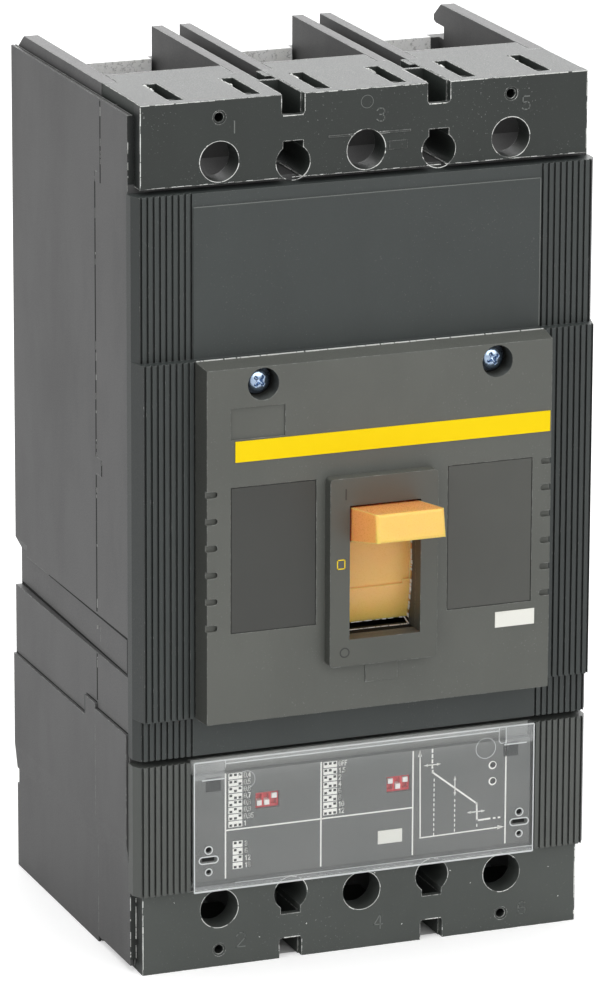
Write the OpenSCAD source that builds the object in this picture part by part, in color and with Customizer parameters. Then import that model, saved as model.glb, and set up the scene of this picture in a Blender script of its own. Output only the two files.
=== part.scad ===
// Three-pole molded case circuit breaker with a front toggle handle and a settings window.
// Origin: centre of the flat back face. +X is right, -Y points out of the front, +Z is up.
// Depths are measured from the back face towards the front. Millimetres.

/* [Case] */
// Distance between neighbouring poles
pole_pitch = 43.75; // [43:0.25:44.5]
// Width of the case beyond the outer poles, on each side
side_margin = 4.375; // [4:0.125:4.75]
// Height over the two terminal ends
case_height = 254; // [252:1:262]
// Depth of the seam between base and middle housing
base_depth = 72; // [70:0.1:76]
// Depth of the middle housing alone
middle_thick = 26.9; // [26:0.1:29]
// Distance between the plain sides and the proud side panels
side_step = 0.8; // [0.5:0.1:1]
// Distance from the ends of the case to the ends of the side skins
skin_drop = 3.4; // [3:0.1:5]
// Thickness of the outermost side skin
skin = 0.8; // [0.6:0.1:0.9]
// Width of the grooved edge between the skins and the bays
skin_edge = 2.1; // [2:0.1:2.6]
// Depth of the finger band low on the sides, at the back
grip_depth = 1.9; // [1:0.1:2]
// Height of the finger band
grip_height = 11.2; // [8:0.1:13]

/* [Terminal bays] */
// Width of the ribs between the bays
bay_rib = 11.95; // [11.5:0.05:13]
// Height of each bay
bay_height = 39; // [36:0.5:42]
// Thickness of the floor behind the terminals
bay_floor = 4.3; // [4:0.1:5]
// Thickness of each phase wall
phase_wall = 3.3; // [2.5:0.1:3.6]
// Thickness of the outer walls of the bays
end_wall = 4.3; // [3.5:0.1:5]
// Depth of the phase barrier slots from the ends
slot_drop = 13.4; // [12:0.1:13.6]
// Height of each terminal block
block_height = 23.8; // [23:0.1:25]
// How far the terminal blocks stand out of the middle housing
block_lip = 4.6; // [4:0.1:5.6]
// Thickness of the terminal block front walls
block_wall = 8; // [6:0.5:10]
// Thickness of the terminal block roofs
roof = 4; // [3:0.1:4.5]
// Length of the roof tongues behind the block
roof_tongue = 9.7; // [6:0.1:12]
// Radius of the access holes over the terminal bolts
access_r = 5.75; // [5.5:0.05:6]
// Width of the ventilation slots in the roofs
vent_width = 4.2; // [3:0.1:5]

/* [Terminals] */
// Distance from the ends of the case to the terminal bolts
bolt_drop = 17.5; // [17:0.1:18]
// Gap between a terminal plate and the sides of its bay
terminal_gap = 1.6; // [1:0.1:2.5]
// Thickness of each terminal plate
terminal_thick = 5; // [4:0.1:6]
// Radius of the terminal bolt holes
terminal_hole_r = 5; // [4.5:0.1:5.2]

/* [Mounting] */
// Distance from the ends of the case to the panel screws
screw_drop = 19.4; // [19:0.1:20]
// Radius of the panel screw holes
screw_hole_r = 3.25; // [2.75:0.05:3.5]
// Radius of the counterbores for the panel screw heads
screw_head_r = 5.05; // [4.5:0.05:5.2]
// Thickness of the floor under the panel screw heads
screw_floor = 12; // [8:0.5:20]

/* [Front cover] */
// Thickness of the front cover in its upper and lower zones
cover_thick = 6.6; // [6:0.1:8]
// Rise of the middle zone of the front cover
step_rise = 3.1; // [2.5:0.1:4]
// Height of the raised middle zone
step_height = 104; // [102:0.5:108]
// Height of the low zone under the raised middle zone
low_zone = 12.2; // [10:0.1:14]
// Distance between the ribbed edges and the proud side panels
cover_inset = 0.4; // [0:0.1:0.8]
// Width of the ribbed zones at the sides
rib_zone = 17.5; // [17.4:0.1:18.5]
// Number of grooves on each side
groove_count = 9; // [5:1:9]
// Distance between neighbouring grooves
groove_pitch = 1.84; // [1.7:0.01:1.85]
// Width of each groove
groove_width = 0.65; // [0.5:0.05:0.8]
// Depth of each groove
groove_depth = 0.8; // [0.5:0.1:1]

/* [Accessory cover] */
// Thickness of the accessory cover
plate_thick = 7.4; // [7:0.1:9]
// Thickness left in front of the handle cavity
plate_skin = 2.5; // [2:0.1:3]
// Draft of the edges from root to face
plate_draft = 0.7; // [0.3:0.1:0.9]
// Distance from the side edges in to the cover screws
cover_screw_in = 16.8; // [15:0.1:18]
// Distance from the top edge down to the cover screws
cover_screw_drop = 6; // [5.5:0.1:8]
// Radius of the counterbores of the cover screws
counterbore_r = 4.65; // [4:0.05:5]
// Depth of the label recesses in the face
label_sink = 0.5; // [0.4:0.05:0.7]
// Height of the label recesses
label_height = 42.6; // [38:0.1:44]
// Width of the square recess above the stripe
badge_width = 16.2; // [12:0.1:18]
// Height of the colour stripe
stripe_height = 6; // [4:0.1:6.4]
// Number of finger notches on each edge
notch_count = 6; // [4:1:6]
// Distance between the notches
notch_pitch = 7.8; // [6:0.1:8]
// Width of each notch
notch_width = 1.8; // [1.2:0.1:2.4]

/* [Handle] */
// Distance from the seam of the base back to the handle pivot
pivot_back = 24.5; // [22:0.5:26]
// Height of the handle pivot above the raised middle zone's foot
pivot_rise = 41.6; // [41:0.1:42]
// Angle of the handle above level when switched on
handle_up = 11.1; // [10:0.1:11.5]
// Width of the handle frame
frame_width = 32.7; // [31:0.1:34]
// Height of the handle frame
frame_height = 55.2; // [54:0.1:57]
// Thickness of the handle frame
frame_thick = 4; // [3:0.1:5]
// Height of the window
window_height = 39.28; // [39:0.02:41]
// Gap between the knob and the sides of the window
window_gap = 0.46; // [0.4:0.02:0.8]
// How far the knob stands out of the handle frame
knob_out = 21.1; // [18:0.1:24]
// Width of the knob
knob_width = 20.6; // [19:0.1:20.9]
// Height of the knob at its tip
knob_tip = 8.1; // [7:0.1:9]
// Height of the knob at the window
knob_root = 9.7; // [9:0.1:10]
// Angle of the shield each way from the knob
shield_angle = 27; // [25:0.5:28]
// Angle from the knob down to the step across the shield
shield_step = 17.5; // [16:0.5:18.5]
// Width of the shield beyond each side of the knob
shield_over = 1.9; // [1:0.1:2.2]
// Gap between the shield and the walls of its cavity
handle_gap = 5.1; // [5:0.1:6]
// Radius of the pivot pin
pin_r = 3; // [2.5:0.1:3.5]
// Running clearance between hub and pin
pin_gap = 0.05; // [0.03:0.01:0.1]

/* [Trip unit] */
// Height of the trip unit
trip_height = 38.8; // [38:0.1:41]
// Gap between the trip unit and the front cover
trip_gap = 2; // [1.5:0.1:2.6]
// How far the clear cover stands out of the trip unit
lid_proud = 0.8; // [0.4:0.1:1.2]
// Thickness of the clear cover
lid_thick = 1.2; // [1:0.1:1.3]
// Radius of the hinge barrel of the clear cover
barrel_r = 1.9; // [1.7:0.1:2]
// Distance between the setting switches of a block
dip_pitch = 2.3; // [2.2:0.05:2.5]
// Travel of each setting switch
dip_travel = 1.8; // [1.2:0.1:1.9]

/* [Hidden] */
$fn = 48;
fit = 0.2;
half_width = 1.5 * pole_pitch + side_margin;
half_height = case_height / 2;
half_pitch = pole_pitch / 2;
half_bay = half_pitch - bay_rib / 2;
plain_side = half_width - side_step;
outer_wall = plain_side - skin_edge;
wall_inner = outer_wall - end_wall;
block_side = outer_wall - fit;
skin_top = half_height - skin_drop;
bay_foot = half_height - bay_height;
slot_foot = half_height - slot_drop;
slot_half = half_pitch - half_bay - phase_wall;
notch_half = slot_half + 0.75;
floor_top = slot_foot + 3.4;
keyway = 3;
terminal_height = half_height - bolt_drop;
terminal_width = 2 * half_bay - 2 * terminal_gap;
screw_height = half_height - screw_drop;
middle_depth = base_depth + middle_thick;
block_depth = middle_depth + block_lip;
block_foot = half_height - block_height;
core_end = block_foot - fit;
web_depth = base_depth + 12;
seam = 0.3;
seam_jog = 4.6;
jog_foot = core_end - 0.8;
cover_low = middle_depth + cover_thick;
cover_high = cover_low + step_rise;
shoulder_depth = cover_low - 3;
cover_top = block_foot - 1.7;
blank_top = cover_top - 3.7;
cover_side = half_width - cover_inset;
groove_first = cover_side - 1.7;
plate_half = cover_side - rib_zone;
blank_half = plate_half + fit;
trip_bottom = 0.4 - block_foot;
trip_top = trip_bottom + trip_height;
gap_top = trip_top + trip_gap;
step_bottom = gap_top + low_zone;
step_top = step_bottom + step_height;
panel_side = half_width;
panel_foot = trip_bottom + 6.4;
panel_jog = trip_top + 9.6;
panel_back = trip_top + 3.7;
grip_foot = trip_top + 24.8;
grip_top = grip_foot + grip_height;
plate_depth = cover_high + plate_thick;
cover_screw_x = plate_half - cover_screw_in;
cover_screw_z = step_top - cover_screw_drop;
pivot_depth = base_depth - pivot_back;
pivot_height = step_bottom + pivot_rise;
jog_low = pivot_height + 22.2;
jog_high = jog_low + 5;
knob_half = knob_width / 2;
shield_half = knob_half + shield_over;
shield_r = plate_depth - plate_skin - 1 - pivot_depth;
cavity_half = shield_half + handle_gap;
cavity_r = shield_r + 1;
cavity_angle = shield_angle + handle_up + 5.4;
hub_r = 7.5;
hub_space = hub_r + 4.5;
pin_half = cavity_half + 3.5;
window_half = knob_half + window_gap;
window_top = pivot_height + window_height / 2;
window_bottom = pivot_height - window_height / 2;
frame_depth = plate_depth + frame_thick;
frame_left = -frame_width / 2 - 0.35;
frame_right = frame_left + frame_width;
frame_foot = pivot_height + 0.2 - frame_height / 2;
knob_reach = frame_depth + knob_out - pivot_depth;
label_left = plate_half - 7.1;
label_right = plate_half - 5.7;
label_in_left = 2.7 - frame_left;
label_in_right = frame_right + 4.5;
label_foot = pivot_height - 15.4;
stripe_foot = pivot_height + 34.5;
badge_foot = stripe_foot + stripe_height + 0.5;
sticker_right = plate_half - 4.6;
sticker_foot = label_foot - 6.8;
notch_top = pivot_height + 25.7;
recess_floor = cover_low - 3.3;
panel_depth = recess_floor + 2.2;
panel_top = trip_top - 4.6;
panel_bottom = trip_bottom + 2.1;
lid_depth = cover_low + lid_proud;
lid_half = plate_half + 0.4;
lid_channel = lid_half + 0.4;
hinge_depth = lid_depth - barrel_r;
hinge_height = trip_top + fit - barrel_r;
lid_bottom = trip_bottom - 0.3;
lid_rim = lid_depth - 2.4;
lid_pin_r = 0.7;
lid_hole_x = lid_half - 4.5;
lid_slot_foot = trip_bottom + 8.45;
latch_x = lid_half - 6.6;
latch_top = panel_top - 0.8;
dip_foot = recess_floor - 2.2;
dip_face = panel_depth - 1;
dip_height = trip_top - 14.1;
dip_half_high = 2.4;
dip_left = 23.1 - lid_half;
dip_right = lid_half - 41.6;
slider_half = 0.75;
slider_gap = 0.1;

// A plain block between two sides, two depths and two heights.
module block(x0, x1, d0, d1, z0, z1) {
  translate([x0, -d1, z0]) cube([x1 - x0, d1 - d0, z1 - z0]);
}

// A round bar or bore along the depth.
module round_hole(x, z, r, d0, d1) {
  translate([x, -d0, z]) rotate([90, 0, 0]) cylinder(r = r, h = d1 - d0);
}

// A profile in depth and height, drawn out across the width.
module across(x0, x1, points) {
  translate([x0, 0, 0]) rotate([90, 0, 90]) linear_extrude(x1 - x0) polygon(points);
}

// A profile in width and depth, drawn out along the height.
module upright(z0, z1, points) {
  translate([0, 0, z0]) linear_extrude(z1 - z0) polygon(points);
}

// A profile in width and height, drawn out along the depth.
module along(d0, d1, points) {
  translate([0, -d0, 0]) rotate([90, 0, 0]) linear_extrude(d1 - d0) polygon(points);
}

function arc(cx, cy, r, a0, a1, n) =
  [for (i = [0:n]) [cx + r * cos(a0 + (a1 - a0) * i / n), cy + r * sin(a0 + (a1 - a0) * i / n)]];

function round_corners(x0, x1, y0, y1, r) = concat(
  arc(x1 - r, y1 - r, r, 0, 90, 5), arc(x0 + r, y1 - r, r, 90, 180, 5),
  arc(x0 + r, y0 + r, r, 180, 270, 5), arc(x1 - r, y0 + r, r, 270, 360, 5));

// A block with rounded corners seen from the front.
module soft_block(x0, x1, d0, d1, z0, z1, r) {
  translate([0, -d0, 0]) rotate([90, 0, 0]) linear_extrude(d1 - d0)
    polygon(round_corners(x0, x1, z0, z1, r));
}

module both_sides() {
  children();
  mirror([1, 0, 0]) children();
}

module both_ends() {
  children();
  mirror([0, 0, 1]) children();
}

// The space that the handle shield swings in.
module handle_cavity() {
  translate([-cavity_half, -pivot_depth, pivot_height]) rotate([90, 0, 90])
    linear_extrude(2 * cavity_half)
      polygon(concat([[0, 0]], arc(0, 0, cavity_r, 180 - cavity_angle, 180 + cavity_angle, 24)));
  translate([-cavity_half, -pivot_depth, pivot_height]) rotate([0, 90, 0])
    cylinder(r = hub_space, h = 2 * cavity_half);
}

// Finger band low on one side, deepest at the back and run out to the front edge.
module side_grip() {
  upright(grip_foot, grip_top, [[-half_width - 1, 1], [-plain_side + grip_depth, 1],
    [-plain_side + grip_depth, -4], [-plain_side + 0.7, -middle_depth - 1],
    [-half_width - 1, -middle_depth - 1]]);
  along(-1, 10, [[-half_width - 1, grip_top - 0.1], [-plain_side + grip_depth, grip_top - 0.1],
    [-plain_side, grip_top + 3.5], [-half_width - 1, grip_top + 3.5]]);
}

// Step of the parting line, where one shell of the case reaches over the other.
module seam_tongue(z0, z1, over) {
  block(outer_wall, plain_side + over, base_depth - 1, base_depth + seam_jog, z0, z1);
}

// Fine open line along the parting of the two shells.
module seam_line(depth, z0, z1) {
  block(plain_side - seam, half_width + 1, depth - seam, depth + 1, z0, z1);
}

// Proud lower panel on one side, with its foot run out to the plain side.
module side_panel(d0, d1, z1) {
  along(d0, d1, [[plain_side - 1, panel_foot], [plain_side, panel_foot],
    [panel_side, panel_foot + 8], [panel_side, z1], [plain_side - 1, z1]]);
}

// Narrow grooves with a ridge between them along the ends of the side skins.
module skin_grooves(z0, z1, d0, d1) {
  ridge = 0.4;
  first = outer_wall + 0.5;
  block(outer_wall, first, d0, d1, z0, z1);
  block(first + ridge, plain_side - skin, d0, d1, z0, z1);
}

// Outer wall of the outer bays, hooked over the floor at the back.
module bay_end_wall() {
  across(wall_inner, outer_wall, [[0, bay_foot], [0, floor_top], [-7.9, floor_top],
    [-7.9, half_height - 6.3], [-1.6, half_height - 6.2], [0, half_height - 5.6],
    [0, half_height - 4], [-5.3, half_height], [-base_depth, half_height],
    [-base_depth, bay_foot]]);
}

module base_housing() color([0.41, 0.41, 0.41]) difference() {
  union() {
    block(-plain_side, plain_side, 0, base_depth, -bay_foot, bay_foot);
    both_sides() {
      block(outer_wall, plain_side, 0, base_depth, -half_height, skin_top);
      seam_tongue(jog_foot, skin_top, 0);
      seam_tongue(jog_low, jog_high, 0);
      side_panel(0, base_depth - 9, panel_back);
      side_panel(base_depth - 9, base_depth, panel_jog);
      both_ends() {
        block(half_bay, pole_pitch - half_bay, 0, base_depth, bay_foot, slot_foot);
        block(half_bay, half_bay + phase_wall, 0, base_depth, slot_foot, half_height);
        block(pole_pitch - half_bay - phase_wall, pole_pitch - half_bay,
          0, base_depth, slot_foot, half_height);
        bay_end_wall();
        block(0, outer_wall, 0, bay_floor, bay_foot, floor_top);
      }
    }
  }
  both_sides() {
    side_grip();
    seam_line(base_depth, jog_high, jog_foot);
    seam_line(base_depth + seam_jog, jog_foot, skin_top + 1);
    seam_line(base_depth + seam_jog, jog_low, jog_high);
    block(plain_side - 0.5, half_width + 1, -1, 1.5, panel_foot - 4.6, panel_foot);
    skin_grooves(skin_top - 6, skin_top + 1, -1, base_depth + seam_jog + 1);
    skin_grooves(-half_height - 1, -half_height + 8, -1, base_depth + 1);
    both_ends() {
      round_hole(half_pitch, screw_height, screw_hole_r, -1, base_depth + 1);
      round_hole(half_pitch, screw_height, screw_head_r, screw_floor, base_depth + 1);
      block(half_pitch - keyway, half_pitch + keyway, screw_floor, base_depth + 1,
        screw_height, slot_foot + 1);
      block(half_bay - 0.5, pole_pitch - half_bay + 0.5, -1, bay_floor + 0.7,
        floor_top, half_height + 1);
      round_hole(pole_pitch, terminal_height, terminal_hole_r + 1, -1, bay_floor + 1);
    }
  }
  both_ends() round_hole(0, terminal_height, terminal_hole_r + 1, -1, bay_floor + 1);
  handle_cavity();
  translate([-pin_half, -pivot_depth, pivot_height]) rotate([0, 90, 0])
    cylinder(r = pin_r, h = 2 * pin_half);
}

module middle_housing() color([0.4, 0.4, 0.4]) difference() {
  union() {
    block(-plain_side, plain_side, base_depth, middle_depth, -core_end, core_end);
    both_sides() {
      block(outer_wall, plain_side, base_depth, middle_depth, 1.8 - half_height, skin_top);
      side_panel(base_depth, middle_depth - 0.7, panel_jog - 1.6);
    }
  }
  both_sides() {
    side_grip();
    seam_tongue(jog_foot, skin_top + 1, 1);
    seam_tongue(jog_low, jog_high, 1);
    for (d = [[base_depth - 1, web_depth + 0.4], [web_depth + 1.6, middle_depth + 1]]) {
      skin_grooves(skin_top - 6, skin_top + 1, d[0], d[1]);
      skin_grooves(-half_height - 1, -half_height + 8, d[0], d[1]);
    }
  }
  handle_cavity();
}

// One terminal block, drawn for the upper end.
module terminal_block() difference() {
  union() {
    block(-outer_wall, outer_wall, middle_depth, block_depth, block_foot, half_height);
    block(-block_side, block_side, block_depth - block_wall, middle_depth, block_foot, half_height);
    both_sides() {
      block(half_bay, pole_pitch - half_bay, base_depth, block_depth - 1, block_foot, slot_foot);
      block(half_bay, half_bay + phase_wall, base_depth, block_depth - 1, block_foot, half_height);
      block(pole_pitch - half_bay - phase_wall, pole_pitch - half_bay, base_depth,
        block_depth - 1, block_foot, half_height);
      block(wall_inner, block_side, base_depth, block_depth - 1, block_foot, half_height);
      block(half_bay, pole_pitch - half_bay, web_depth - 0.6, web_depth + 0.6,
        block_foot, half_height - 6);
      block(pole_pitch - half_bay + fit, wall_inner - fit, base_depth - roof_tongue,
        base_depth + 1, half_height - roof, half_height);
    }
    block(-block_side + 1, block_side - 1, base_depth, block_depth - 1,
      half_height - roof, half_height);
    block(-half_bay + fit, half_bay - fit, base_depth - roof_tongue, base_depth + 1,
      half_height - roof, half_height);
  }
  for (x = [-pole_pitch, 0, pole_pitch]) {
    round_hole(x, terminal_height, access_r, base_depth, block_depth + 1);
    both_sides() roof_vent(x + half_bay - 4.5);
  }
  both_sides() {
    round_hole(half_pitch, screw_height, screw_head_r, base_depth - 1, block_depth + 1);
    block(half_pitch - keyway, half_pitch + keyway, base_depth - 1, block_depth + 1,
      screw_height, slot_foot + 0.1);
    block(half_pitch - slot_half, half_pitch + slot_half, base_depth - 1, web_depth - 0.6,
      slot_foot, half_height + 1);
    block(half_pitch - notch_half, half_pitch + notch_half, web_depth + 0.6, block_depth - 2,
      slot_foot, half_height + 1);
    soft_block(half_pitch - notch_half, half_pitch + notch_half, web_depth + 0.6,
      block_depth + 1, half_height - 6, half_height + 3, 1);
    round_hole(pole_pitch, half_height - 5, 1.35, block_depth - 6, block_depth + 1);
    round_hole(pole_pitch, half_height - 5, 1.95, block_depth - 0.4, block_depth + 1);
  }
}

// Ventilation slot through the roof, shallow over the front wall.
module roof_vent(x) {
  block(x - vent_width / 2, x + vent_width / 2, base_depth + 6, block_depth - 11.5,
    half_height - roof - 1, half_height + 1);
  block(x - vent_width / 2, x + vent_width / 2, block_depth - 12, block_depth - 3.5,
    half_height - 1.5, half_height + 1);
}

module line_terminal_block() color([0.25, 0.26, 0.25]) {
  terminal_block();
  block(4.5 - half_bay, -3.8, block_depth, block_depth + 0.25,
    terminal_height + 4.2, terminal_height + 4.8);
  block(3.8, half_bay - 2.6, block_depth, block_depth + 0.25,
    terminal_height + 4.2, terminal_height + 4.8);
  block(access_r + 1.15, half_bay - 3.5, block_depth, block_depth + 0.2,
    terminal_height - 0.6, terminal_height + 1.9);
}

module load_terminal_block() color([0.35, 0.35, 0.34]) mirror([0, 0, 1]) terminal_block();

// Plan section of the ribbed front mouldings: flat face, side return and corner chamfer.
module ribbed_section(face, z0, z1) difference() {
  upright(z0, z1, [[-cover_side, -middle_depth], [cover_side, -middle_depth],
    [cover_side, -shoulder_depth], [groove_first, -face], [-groove_first, -face],
    [-cover_side, -shoulder_depth]]);
  both_sides() for (i = [0:groove_count - 1])
    block(groove_first - i * groove_pitch - groove_width, groove_first - i * groove_pitch,
      face - groove_depth, face + 1, z0 - 1, z1 + 1);
}

module front_cover() color([0.36, 0.37, 0.36]) difference() {
  union() {
    ribbed_section(cover_low, step_top, cover_top);
    ribbed_section(cover_high, step_bottom, step_top);
    ribbed_section(cover_low, gap_top, step_bottom);
    block(-blank_half, blank_half, cover_low - 0.5, cover_low + 0.4, step_top - 1, blank_top);
  }
  handle_cavity();
  both_sides() round_hole(cover_screw_x, cover_screw_z, 1.9, cover_low - 2, cover_high + 1);
}

module accessory_cover() color([0.39, 0.39, 0.37]) difference() {
  union() {
    block(-4.4, 5.4, plate_depth - 1, plate_depth + 0.35, frame_foot - 6.5, frame_foot - 0.1);
    intersection() {
      upright(step_bottom, step_top, [[-plate_half - plate_draft, -cover_high],
        [plate_half + plate_draft, -cover_high], [plate_half, -plate_depth],
        [-plate_half, -plate_depth]]);
      across(-plate_half - 1, plate_half + 1, [[-cover_high, step_bottom],
        [-plate_depth, step_bottom], [-plate_depth, step_top - 0.9], [-cover_high, step_top]]);
    }
  }
  both_sides() {
    round_hole(cover_screw_x, cover_screw_z, counterbore_r, cover_high + 1.4, plate_depth + 1);
    round_hole(cover_screw_x, cover_screw_z, 1.9, cover_high - 1, plate_depth + 1);
    for (i = [0:notch_count - 1]) finger_notch(notch_top - i * notch_pitch);
  }
  block(-label_left, badge_width - label_left, plate_depth - label_sink, plate_depth + 1,
    badge_foot, badge_foot + 9);
  block(-label_left, -label_in_left, plate_depth - label_sink, plate_depth + 1,
    label_foot, label_foot + label_height);
  block(label_in_right, label_right, plate_depth - label_sink, plate_depth + 1,
    label_foot, label_foot + label_height);
  handle_cavity();
  block(-window_half, window_half, cover_high - 1, plate_depth + 1, window_bottom, window_top);
}

// Finger notch in the right edge of the accessory cover.
module finger_notch(z) {
  soft_block(plate_half - 3.1, plate_half + 3.9, plate_depth - 1.2, plate_depth + 1,
    z - notch_width / 2, z + notch_width / 2, 0.45 * notch_width);
}

module handle_frame() color([0.3, 0.3, 0.29]) difference() {
  soft_block(frame_left, frame_right, plate_depth, frame_depth,
    frame_foot, frame_foot + frame_height, 1.2);
  block(-window_half, window_half, plate_depth - 1, frame_depth + 1, window_bottom, window_top);
}

module colour_stripe() color([1, 0.86, 0.06])
  block(8.4 - plate_half, plate_half - 0.5, plate_depth, plate_depth + 0.3,
    stripe_foot, stripe_foot + stripe_height);

module rating_plate_left() color([0.2, 0.2, 0.2])
  block(fit - label_left, -label_in_left - fit, plate_depth - label_sink, plate_depth - 0.1,
    label_foot + fit, label_foot + label_height - fit);

module rating_plate_right() color([0.2, 0.2, 0.2])
  block(label_in_right + fit, label_right - fit, plate_depth - label_sink, plate_depth - 0.1,
    label_foot + fit, label_foot + label_height - fit);

module info_sticker() color([0.93, 0.93, 0.9])
  block(sticker_right - 12.1, sticker_right, plate_depth, plate_depth + 0.2,
    sticker_foot, sticker_foot + 4.6);

// Pan-head screw of the accessory cover with a cross recess.
module cover_screw(x) difference() {
  union() {
    round_hole(x, cover_screw_z, 3, cover_high + 1.4, cover_high + 3.8);
    round_hole(x, cover_screw_z, 1.9, cover_low - 1.5, cover_high + 2);
  }
  for (a = [45, 135])
    translate([x, -cover_high - 3.4, cover_screw_z]) rotate([0, a, 0])
      cube([4, 3, 0.8], center = true);
}

module cover_screw_left() color([0.75, 0.76, 0.78]) cover_screw(-cover_screw_x);

module cover_screw_right() color([0.75, 0.76, 0.78]) cover_screw(cover_screw_x);

// Part of a ring about the handle pivot, between two angles above the knob.
module handle_ring(a0, a1, points) {
  rotate([0, 90, 0]) rotate([0, 0, -90 - a1]) rotate_extrude(angle = a1 - a0, $fn = 120)
    polygon(points);
}

// Knob, curved shield, web and hub of the toggle, tilted up to the switched-on position.
module operating_handle() color([1, 0.68, 0.35])
  translate([0, -pivot_depth, pivot_height]) rotate([-handle_up, 0, 0]) difference() {
    union() {
      intersection() {
        across(-knob_half, knob_half, concat([[-shield_r + 2, -knob_root / 2 - 0.5],
          [-shield_r + 2, knob_root / 2 + 0.5]],
          arc(-knob_reach + 0.8, knob_tip / 2 - 0.8, 0.8, 90, 180, 4),
          arc(-knob_reach + 0.8, -knob_tip / 2 + 0.8, 0.8, 180, 270, 4)));
        upright(-10, 10, concat([[knob_half, -shield_r + 3], [-knob_half, -shield_r + 3]],
          arc(-knob_half + 1.2, -knob_reach + 1.2, 1.2, 180, 270, 4),
          arc(knob_half - 1.2, -knob_reach + 1.2, 1.2, 270, 360, 4)));
      }
      handle_ring(-shield_angle, shield_angle, [[shield_r - 3, -shield_half],
        [shield_r - 1.2, -shield_half], [shield_r - 0.35, -shield_half + 0.35],
        [shield_r, -shield_half + 1.2], [shield_r, shield_half - 1.2],
        [shield_r - 0.35, shield_half - 0.35], [shield_r - 1.2, shield_half],
        [shield_r - 3, shield_half]]);
      block(-6, 6, 3, shield_r - 1, -5, 5);
      translate([-knob_half, 0, 0]) rotate([0, 90, 0]) cylinder(r = hub_r, h = knob_width);
    }
    handle_ring(-shield_step, -5.2, [[shield_r - 0.6, -shield_half - 1],
      [shield_r + 1, -shield_half - 1], [shield_r + 1, shield_half - 3.7],
      [shield_r - 0.6, shield_half - 3.7]]);
    handle_ring(1.1 - shield_step, -5.2, [[shield_r - 0.6, shield_half - 3.8],
      [shield_r + 1, shield_half - 3.8], [shield_r + 1, shield_half - 1.7],
      [shield_r - 0.6, shield_half - 1.7]]);
    translate([-20, 0, 0]) rotate([0, 90, 0]) cylinder(r = pin_r + pin_gap, h = 40);
  }

module handle_pivot_pin() color([0.7, 0.71, 0.73])
  translate([-pin_half, -pivot_depth, pivot_height]) rotate([0, 90, 0])
    cylinder(r = pin_r, h = 2 * pin_half);

// One terminal plate for the upper end, on the centre line.
module terminal() difference() {
  block(-terminal_width / 2, terminal_width / 2, bay_floor, bay_floor + terminal_thick,
    bay_foot, floor_top + 1.3);
  round_hole(0, terminal_height, terminal_hole_r, 0, 20);
}

module line_terminal_left() color([0.8, 0.81, 0.82])
  translate([-pole_pitch, 0, 0]) terminal();

module line_terminal_centre() color([0.8, 0.81, 0.82]) terminal();

module line_terminal_right() color([0.8, 0.81, 0.82])
  translate([pole_pitch, 0, 0]) terminal();

module load_terminal_left() color([0.8, 0.81, 0.82])
  mirror([0, 0, 1]) translate([-pole_pitch, 0, 0]) terminal();

module load_terminal_centre() color([0.8, 0.81, 0.82]) mirror([0, 0, 1]) terminal();

module load_terminal_right() color([0.8, 0.81, 0.82])
  mirror([0, 0, 1]) translate([pole_pitch, 0, 0]) terminal();

module trip_unit_housing() color([0.37, 0.38, 0.37]) difference() {
  ribbed_section(cover_low, trip_bottom, trip_top);
  block(-lid_channel, lid_channel, recess_floor, cover_low + 1, trip_bottom - 1, trip_top + 1);
  both_sides() translate([lid_half - 1, -hinge_depth, hinge_height]) rotate([0, 90, 0])
    cylinder(r = lid_pin_r + pin_gap, h = 2.6);
  for (x = [dip_left, dip_right]) dip_space(x);
  both_sides() latch_space();
}

// Space that a block of setting switches stands in.
module dip_space(x) {
  block(x - 1.5 * dip_pitch - fit, x + 1.5 * dip_pitch + fit, dip_foot, panel_depth + 1,
    dip_height - dip_half_high, dip_height + dip_half_high);
}

// Square space beside the legend for the latch of the clear cover.
module latch_space() {
  block(latch_x - 2.3, latch_x + 2.3, recess_floor - 1.7, cover_low + 1,
    latch_top - 4.3, latch_top);
}

module trip_panel() color([0.3, 0.31, 0.3]) difference() {
  block(-lid_half + 0.5, lid_half - 0.5, recess_floor, panel_depth, panel_bottom, panel_top);
  for (x = [dip_left, dip_right]) dip_space(x);
  both_sides() latch_space();
}

// Clear lid, hung on a barrel along its top edge.
module clear_cover() color([0.8, 0.86, 0.88, 0.35]) difference() {
  union() {
    block(-lid_half, lid_half, lid_depth - lid_thick, lid_depth, lid_bottom, hinge_height);
    translate([-lid_half, -hinge_depth, hinge_height]) rotate([0, 90, 0])
      cylinder(r = barrel_r, h = 2 * lid_half);
    translate([-lid_half - 1.5, -hinge_depth, hinge_height]) rotate([0, 90, 0])
      cylinder(r = lid_pin_r, h = 2 * lid_half + 3);
    block(-lid_half, lid_half, lid_rim, lid_depth, lid_bottom, lid_bottom + 1.9);
    both_sides() block(lid_half - 1, lid_half, panel_depth + fit, lid_depth,
      lid_bottom, hinge_height - barrel_r - 1);
  }
  both_sides() {
    round_hole(lid_hole_x, lid_slot_foot + 3.85, 1.1, recess_floor, lid_depth + 1);
    block(lid_hole_x - 2.75, lid_hole_x + 2.75, recess_floor, lid_depth + 1,
      lid_slot_foot, lid_slot_foot + 1.8);
    round_hole(lid_hole_x, lid_slot_foot - 2.75, 1, recess_floor, lid_depth + 1);
  }
}

module value_label() color([0.9, 0.9, 0.88])
  block(dip_right - 6.3, dip_right + 1.2, panel_depth, panel_depth + 0.2,
    trip_bottom + 7.1, trip_bottom + 11.1);

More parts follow.
